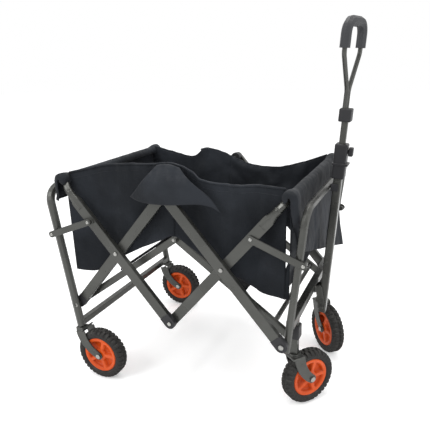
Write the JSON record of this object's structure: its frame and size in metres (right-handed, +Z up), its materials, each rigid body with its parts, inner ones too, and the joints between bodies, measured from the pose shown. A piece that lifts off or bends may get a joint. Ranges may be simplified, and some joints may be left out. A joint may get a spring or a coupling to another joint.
{
  "type": "folding utility wagon",
  "caption": "Folding fabric utility wagon on a scissor-bar steel frame, shown half folded, with a telescoping pull handle and swivelling front casters.",
  "frame": {"origin": "middle of the bounding box, at the ground", "axes": "+X toward the pull handle at the front, +Y to the left, +Z up"},
  "size_m": [0.8324, 0.576, 1.0326],
  "materials": {
    "bright_steel": "satin",
    "charcoal_fabric": "woven",
    "black_plastic": "moulded",
    "coated_steel": "powder coated",
    "grip_rubber": "matte",
    "orange_plastic": "moulded",
    "tyre_rubber": "matte"
  },
  "bodies": {
    "rear_frame": {"rear_frame": "coated_steel", "rear_fork_right": "coated_steel", "rear_fork_left": "coated_steel"},
    "front_frame": {"front_frame": "coated_steel", "handle_bracket": "coated_steel", "handle_clip": "black_plastic"},
    "rear_bars": {"rear_bars": "coated_steel", "middle_foot_cap_right": "black_plastic", "middle_foot_cap_left": "black_plastic"},
    "front_bars": {"front_bars": "coated_steel"},
    "rear_brace": {"rear_brace_right": "coated_steel", "rear_brace_left": "coated_steel", "brace_foot_cap_right": "black_plastic", "brace_foot_cap_left": "black_plastic", "brace_top_cap_right": "black_plastic", "brace_top_cap_left": "black_plastic"},
    "front_brace": {"front_brace_right": "coated_steel", "front_brace_left": "coated_steel", "front_foot_cap_right": "black_plastic", "front_foot_cap_left": "black_plastic"},
    "rear_links": {"rear_link_right": "coated_steel", "rear_link_left": "coated_steel"},
    "front_links": {"front_link_right": "coated_steel", "front_link_left": "coated_steel"},
    "rear_floor": {"rear_floor_frame": "coated_steel", "floor_board_rear": "charcoal_fabric"},
    "front_floor": {"front_floor_frame": "coated_steel", "floor_board_front": "charcoal_fabric"},
    "rear_hem": {"bag_rear_end": "charcoal_fabric"},
    "front_hem": {"bag_front_end": "charcoal_fabric"},
    "rear_slider": {"bag_rear_side_right": "charcoal_fabric", "bag_rear_side_left": "charcoal_fabric"},
    "front_slider": {"bag_front_side_right": "charcoal_fabric", "bag_front_side_left": "charcoal_fabric"},
    "middle_bag": {"bag_middle_side_right": "charcoal_fabric", "bag_middle_side_left": "charcoal_fabric"},
    "pull_handle": {"handle_lower_tube": "coated_steel", "handle_lock": "black_plastic"},
    "lock_button": {"lock_button": "black_plastic"},
    "pull_loop": {"handle_inner_tube": "coated_steel", "handle_collar": "black_plastic", "handle_loop": "coated_steel", "handle_grip": "grip_rubber"},
    "wheel_rear_right": {"tyre_rear_right": "tyre_rubber", "hub_rear_right": "orange_plastic", "axle_rear_right": "bright_steel"},
    "wheel_rear_left": {"tyre_rear_left": "tyre_rubber", "hub_rear_left": "orange_plastic", "axle_rear_left": "bright_steel"},
    "wheel_front_right": {"tyre_front_right": "tyre_rubber", "hub_front_right": "orange_plastic", "axle_front_right": "bright_steel"},
    "wheel_front_left": {"tyre_front_left": "tyre_rubber", "hub_front_left": "orange_plastic", "axle_front_left": "bright_steel"},
    "caster_right": {"caster_fork_right": "coated_steel"},
    "caster_left": {"caster_fork_left": "coated_steel"}
  },
  "joints": [
    {"name": "fold", "type": "hinge", "parent": "rear_frame", "child": "rear_brace", "pos_m": [-0.34821, 0, 0.24], "axis": [0, 1, 0], "range_deg": [-25.6, 11.4]},
    {"name": "rear_scissor", "type": "hinge", "parent": "rear_brace", "child": "rear_bars", "pos_m": [-0.18714, 0, 0.42792], "axis": [0, 1, 0], "range_deg": [-22.81, 51.21]},
    {"name": "top_scissor", "type": "hinge", "parent": "rear_brace", "child": "front_brace", "pos_m": [-0.02607, 0, 0.61584], "axis": [0, 1, 0], "range_deg": [-22.81, 51.21]},
    {"name": "front_scissor", "type": "hinge", "parent": "front_brace", "child": "front_bars", "pos_m": [0.13499, 0, 0.42792], "axis": [0, 1, 0], "range_deg": [-51.21, 22.81]},
    {"name": "front_foot", "type": "hinge", "parent": "front_brace", "child": "front_frame", "pos_m": [0.29606, 0, 0.24], "axis": [0, 1, 0], "range_deg": [-25.61, 11.41]},
    {"name": "rear_link", "type": "hinge", "parent": "rear_frame", "child": "rear_links", "pos_m": [-0.39903, 0, 0.465], "axis": [0, 1, 0], "range_deg": [-38.41, 17.11]},
    {"name": "front_link", "type": "hinge", "parent": "front_frame", "child": "front_links", "pos_m": [0.34391, 0, 0.465], "axis": [0, 1, 0], "range_deg": [-17.11, 38.41]},
    {"name": "rear_floor", "type": "hinge", "parent": "rear_frame", "child": "rear_floor", "pos_m": [-0.34821, 0, 0.24], "axis": [0, 1, 0], "range_deg": [-37.13, 16.54]},
    {"name": "floor_ridge", "type": "hinge", "parent": "rear_floor", "child": "front_floor", "pos_m": [-0.02607, 0, 0.47203], "axis": [0, 1, 0], "range_deg": [-33.07, 74.25]},
    {"name": "rear_hem", "type": "hinge", "parent": "rear_bars", "child": "rear_hem", "pos_m": [-0.35787, 0, 0.62711], "axis": [0, 1, 0], "range_deg": [-25.61, 11.41]},
    {"name": "front_hem", "type": "hinge", "parent": "front_bars", "child": "front_hem", "pos_m": [0.30572, 0, 0.62711], "axis": [0, 1, 0], "range_deg": [-11.41, 25.61]},
    {"name": "middle_hem", "type": "hinge", "parent": "rear_brace", "child": "middle_bag", "pos_m": [-0.02607, 0, 0.61584], "axis": [0, 1, 0], "range_deg": [-11.41, 25.61]},
    {"name": "rear_gather", "type": "slide", "parent": "rear_hem", "child": "rear_slider", "axis": [1, 0, 0], "range_m": [-0.17922, 0.08009]},
    {"name": "front_gather", "type": "slide", "parent": "front_hem", "child": "front_slider", "axis": [1, 0, 0], "range_m": [-0.08009, 0.17922]},
    {"name": "caster_right_swivel", "type": "hinge", "parent": "front_frame", "child": "caster_right", "pos_m": [0.30586, -0.1735, 0.08], "axis": [0, 0, 1], "continuous": true},
    {"name": "caster_left_swivel", "type": "hinge", "parent": "front_frame", "child": "caster_left", "pos_m": [0.30586, 0.1735, 0.08], "axis": [0, 0, 1], "continuous": true},
    {"name": "wheel_rear_right_spin", "type": "hinge", "parent": "rear_frame", "child": "wheel_rear_right", "pos_m": [-0.27921, -0.26, 0.08], "axis": [0, 1, 0], "continuous": true},
    {"name": "wheel_rear_left_spin", "type": "hinge", "parent": "rear_frame", "child": "wheel_rear_left", "pos_m": [-0.27921, 0.26, 0.08], "axis": [0, 1, 0], "continuous": true},
    {"name": "wheel_front_right_spin", "type": "hinge", "parent": "caster_right", "child": "wheel_front_right", "pos_m": [0.33512, -0.13672, 0.08], "axis": [-0.7826, 0.6225, 0], "continuous": true},
    {"name": "wheel_front_left_spin", "type": "hinge", "parent": "caster_left", "child": "wheel_front_left", "pos_m": [0.3367, 0.13803, 0.08], "axis": [0.7547, 0.6561, 0], "continuous": true},
    {"name": "handle_tilt", "type": "hinge", "parent": "front_frame", "child": "pull_handle", "pos_m": [0.34446, 0, 0.232], "axis": [0, 1, 0], "range_deg": [0, 100]},
    {"name": "handle_slide", "type": "slide", "parent": "pull_handle", "child": "pull_loop", "axis": [0.068, 0, 0.9977], "range_m": [-0.055, 0.16]},
    {"name": "button_press", "type": "slide", "parent": "pull_handle", "child": "lock_button", "axis": [-0.9977, 0, 0.068], "range_m": [0, 0.001], "stiffness_N_per_m": 600, "springref_m": -0.002}
  ],
  "couplings": [
    {"joint": "rear_scissor", "follows": "fold", "ratio": -2},
    {"joint": "top_scissor", "follows": "fold", "ratio": -2},
    {"joint": "front_scissor", "follows": "fold", "ratio": 2},
    {"joint": "front_foot", "follows": "fold", "ratio": 1},
    {"joint": "rear_link", "follows": "fold", "ratio": 1.5},
    {"joint": "front_link", "follows": "fold", "ratio": -1.5},
    {"joint": "rear_floor", "follows": "fold", "ratio": 1.45},
    {"joint": "floor_ridge", "follows": "fold", "ratio": -2.9},
    {"joint": "rear_hem", "follows": "fold", "ratio": 1},
    {"joint": "front_hem", "follows": "fold", "ratio": -1},
    {"joint": "middle_hem", "follows": "fold", "ratio": -1},
    {"joint": "rear_gather", "follows": "fold", "m_per_rad": 0.4},
    {"joint": "front_gather", "follows": "fold", "m_per_rad": -0.4}
  ]
}
